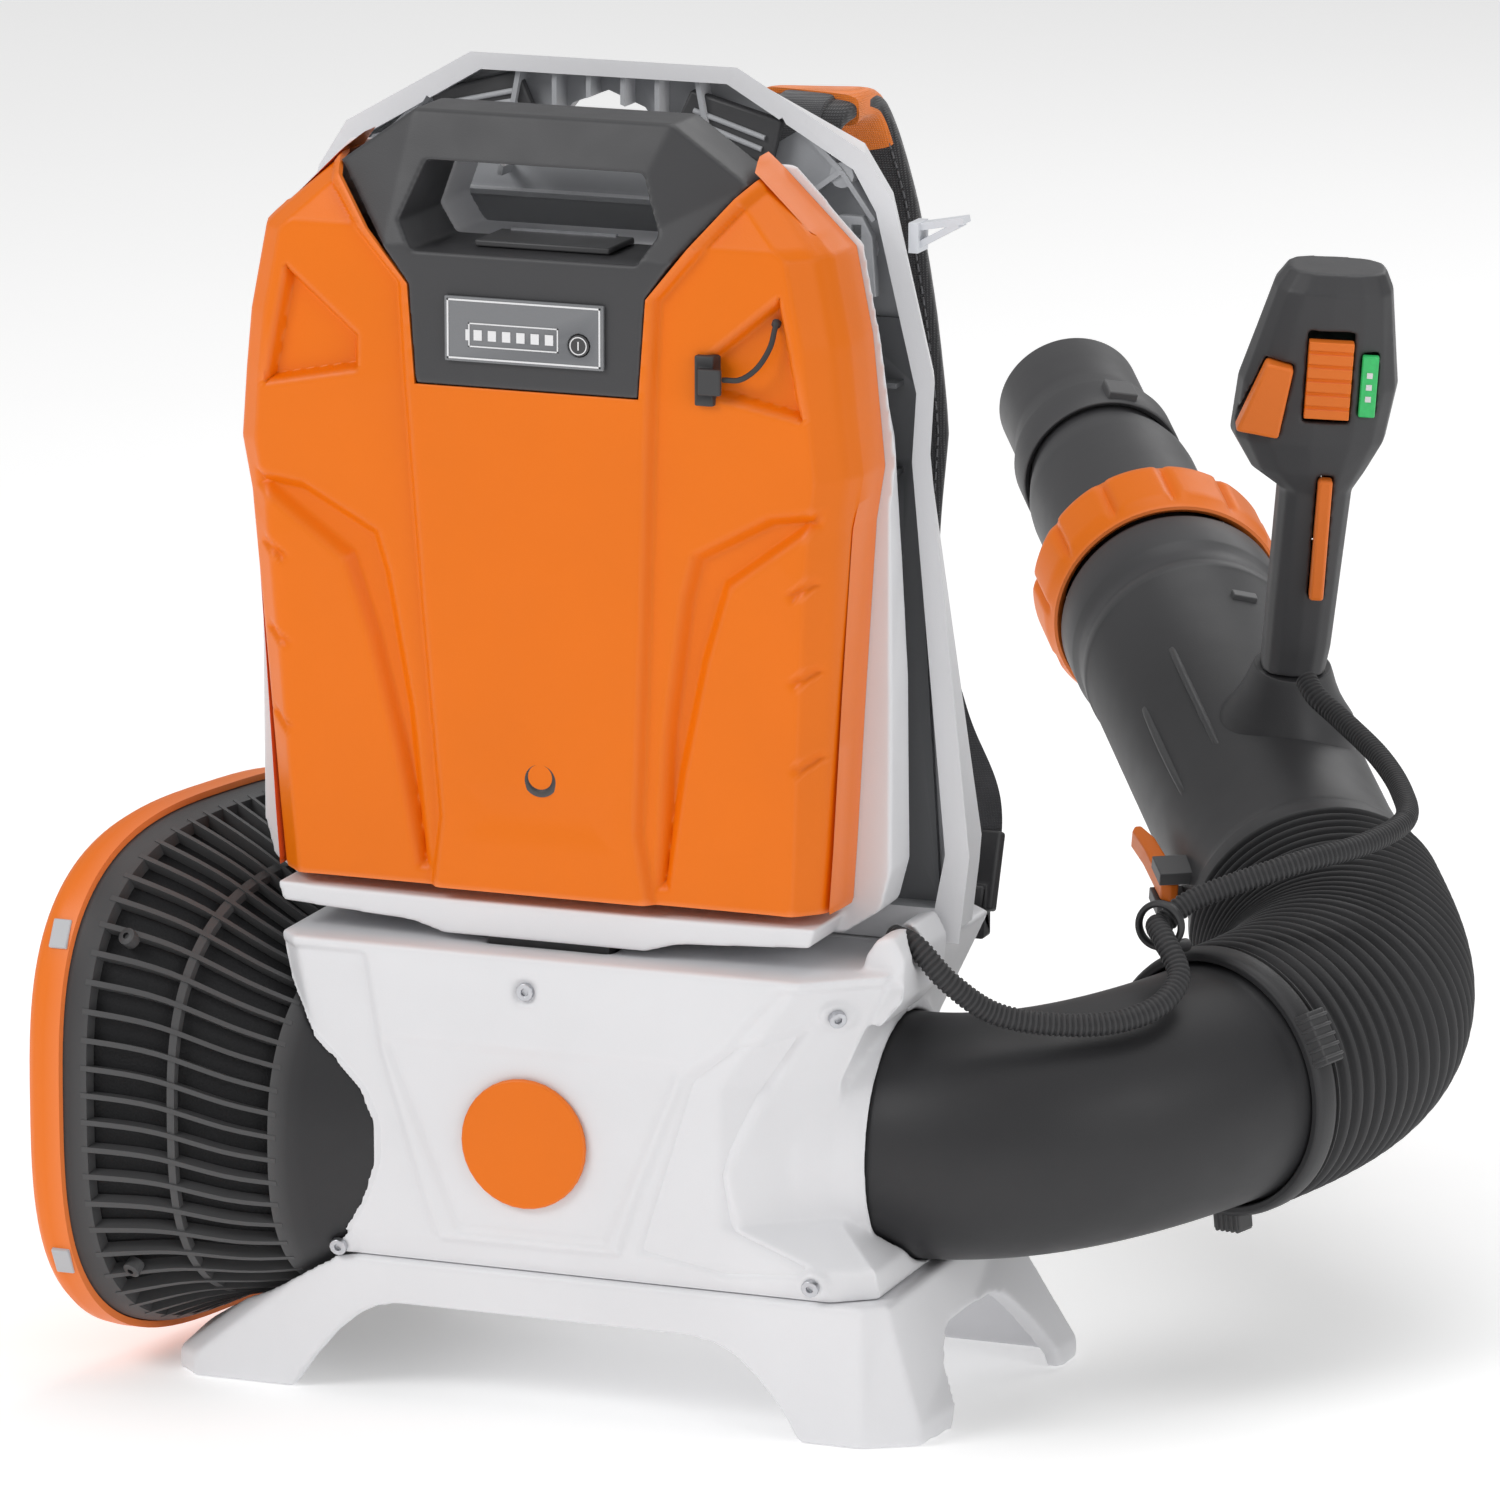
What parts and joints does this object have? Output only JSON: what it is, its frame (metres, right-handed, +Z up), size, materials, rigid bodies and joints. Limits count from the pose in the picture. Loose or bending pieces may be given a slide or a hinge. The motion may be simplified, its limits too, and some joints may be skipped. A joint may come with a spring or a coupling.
{
  "type": "backpack leaf blower",
  "caption": "Battery backpack leaf blower: fan housing on a splayed base, side air intake, lift-out battery, backplate with harness, folded hose and blow tube with a control handle.",
  "frame": {"origin": "on the ground, under the middle of the machine's overall box", "axes": "+X to the blow-tube side, +Y towards the wearer's back, +Z up"},
  "size_m": [0.6004, 0.8776, 0.624],
  "materials": {
    "orange_plastic": "satin moulded plastic",
    "white_plastic": "fine texture",
    "charcoal_plastic": "fine texture",
    "black_plastic": "fine texture",
    "rubber": "matt",
    "grey_plastic": "satin",
    "clear_plastic": "milky",
    "steel": "zinc plated",
    "aluminium": "cast",
    "copper": "enamelled winding",
    "fabric": "woven and padded",
    "lamp": "lit window"
  },
  "bodies": {
    "machine": {"base_frame": "white_plastic", "housing_cover": "white_plastic", "housing_body": "white_plastic", "badge_disc": "orange_plastic", "intake_grille": "black_plastic", "intake_cover": "orange_plastic", "backplate": "white_plastic", "side_channel_left": "grey_plastic", "side_channel_right": "grey_plastic", "lock_screw_left": "steel", "lock_screw_right": "steel", "cable_clip": "clear_plastic", "fan_duct": "black_plastic", "motor_housing": "aluminium", "motor_stator": "copper", "bearing_front": "steel", "bearing_rear": "steel", "controller_box": "black_plastic", "power_socket": "black_plastic", "outlet_elbow": "black_plastic", "bellows_lower": "rubber", "hose_clamp": "black_plastic", "cable_lower": "rubber", "cable_ring": "black_plastic", "cable_upper": "rubber", "back_pad": "fabric", "shoulder_strap_left": "fabric", "shoulder_strap_right": "fabric", "strap_buckle_left": "black_plastic", "strap_buckle_right": "black_plastic", "cover_screw_top": "steel", "collar_screw_top": "steel", "collar_screw_bottom": "steel", "intake_screw": "steel"},
    "fan": {"impeller": "black_plastic", "motor_rotor": "steel"},
    "battery": {"battery_shell": "orange_plastic", "battery_back_shell": "white_plastic", "cell_pack": "black_plastic", "battery_handle": "charcoal_plastic", "display_panel": "grey_plastic"},
    "battery_button": {"status_button": "charcoal_plastic"},
    "connector_lid": {"connector_cover": "charcoal_plastic"},
    "charge_plug": {"socket_plug": "rubber"},
    "lock_left": {"battery_lock_left": "grey_plastic"},
    "lock_right": {"battery_lock_right": "grey_plastic"},
    "hose": {"bellows_mid": "rubber"},
    "tube": {"blow_tube": "charcoal_plastic", "bellows_upper": "rubber", "handle_shell": "charcoal_plastic", "led_window": "lamp", "cable_handle": "rubber"},
    "tube_lever": {"quick_lever": "orange_plastic"},
    "nut": {"union_nut": "orange_plastic"},
    "nozzle": {"nozzle_tube": "charcoal_plastic"},
    "tip": {"nozzle_tip": "black_plastic"},
    "grip_trigger": {"trigger": "charcoal_plastic"},
    "grip_lockout": {"lockout_lever": "orange_plastic"},
    "grip_slider": {"thumb_slider": "orange_plastic"},
    "grip_button": {"boost_button": "orange_plastic"}
  },
  "joints": [
    {"name": "fan_spin", "type": "hinge", "parent": "machine", "child": "fan", "pos_m": [-0.08187, -0.30064, 0.127], "axis": [1, 0, 0], "continuous": true},
    {"name": "battery_lift", "type": "slide", "parent": "machine", "child": "battery", "axis": [0, 0, 1], "range_m": [0, 0.42]},
    {"name": "status_press", "type": "slide", "parent": "battery", "child": "battery_button", "axis": [0, 1, 0], "range_m": [0, 0.001]},
    {"name": "connector_lid_swing", "type": "hinge", "parent": "battery", "child": "connector_lid", "pos_m": [-0.06187, -0.37664, 0.5474], "axis": [1, 0, 0], "range_deg": [0, 60]},
    {"name": "charge_plug_pull", "type": "slide", "parent": "battery", "child": "charge_plug", "axis": [0, -1, 0], "range_m": [0, 0.02]},
    {"name": "lock_left_slide", "type": "slide", "parent": "machine", "child": "lock_left", "axis": [0, 0, -1], "range_m": [0, 0.01]},
    {"name": "lock_right_slide", "type": "slide", "parent": "machine", "child": "lock_right", "axis": [0, 0, -1], "range_m": [0, 0.01]},
    {"name": "hose_swing", "type": "hinge", "parent": "machine", "child": "hose", "pos_m": [0.23174, -0.15445, 0.14551], "axis": [0, 0, 1], "range_deg": [-15, 15], "deforming": ["bellows_lower", "cable_upper"]},
    {"name": "tube_lift", "type": "hinge", "parent": "hose", "child": "tube", "pos_m": [0.22122, -0.06191, 0.16512], "axis": [0.8432, 0.5376, 0], "range_deg": [-12, 15], "deforming": ["bellows_upper", "cable_handle"]},
    {"name": "tube_lever_flip", "type": "hinge", "parent": "tube", "child": "tube_lever", "pos_m": [0.12585, -0.03377, 0.18732], "axis": [0.1522, -0.2387, 0.9591], "range_deg": [0, 80]},
    {"name": "nut_turn", "type": "hinge", "parent": "tube", "child": "nut", "pos_m": [0.02683, 0.24434, 0.27224], "axis": [-0.5156, 0.8087, 0.2831], "range_deg": [0, 90]},
    {"name": "nozzle_extend", "type": "slide", "parent": "tube", "child": "nozzle", "axis": [-0.5156, 0.8087, 0.2831], "range_m": [0, 0.06]},
    {"name": "tip_twist", "type": "hinge", "parent": "nozzle", "child": "tip", "pos_m": [-0.04535, 0.35756, 0.31187], "axis": [-0.5156, 0.8087, 0.2831], "range_deg": [0, 30]},
    {"name": "trigger_pull", "type": "hinge", "parent": "tube", "child": "grip_trigger", "pos_m": [0.16842, 0.04916, 0.39342], "axis": [-0.9294, -0.3647, 0.057], "range_deg": [0, 12]},
    {"name": "lockout_press", "type": "hinge", "parent": "tube", "child": "grip_lockout", "pos_m": [0.18096, 0.02571, 0.32513], "axis": [-0.9294, -0.3647, 0.057], "range_deg": [0, 3]},
    {"name": "slider_move", "type": "slide", "parent": "tube", "child": "grip_slider", "axis": [0.1, -0.1, 0.9899], "range_m": [-0.0025, 0.003]},
    {"name": "boost_press", "type": "slide", "parent": "tube", "child": "grip_button", "axis": [-0.3553, 0.9257, 0.1294], "range_m": [0, 0.003]}
  ]
}
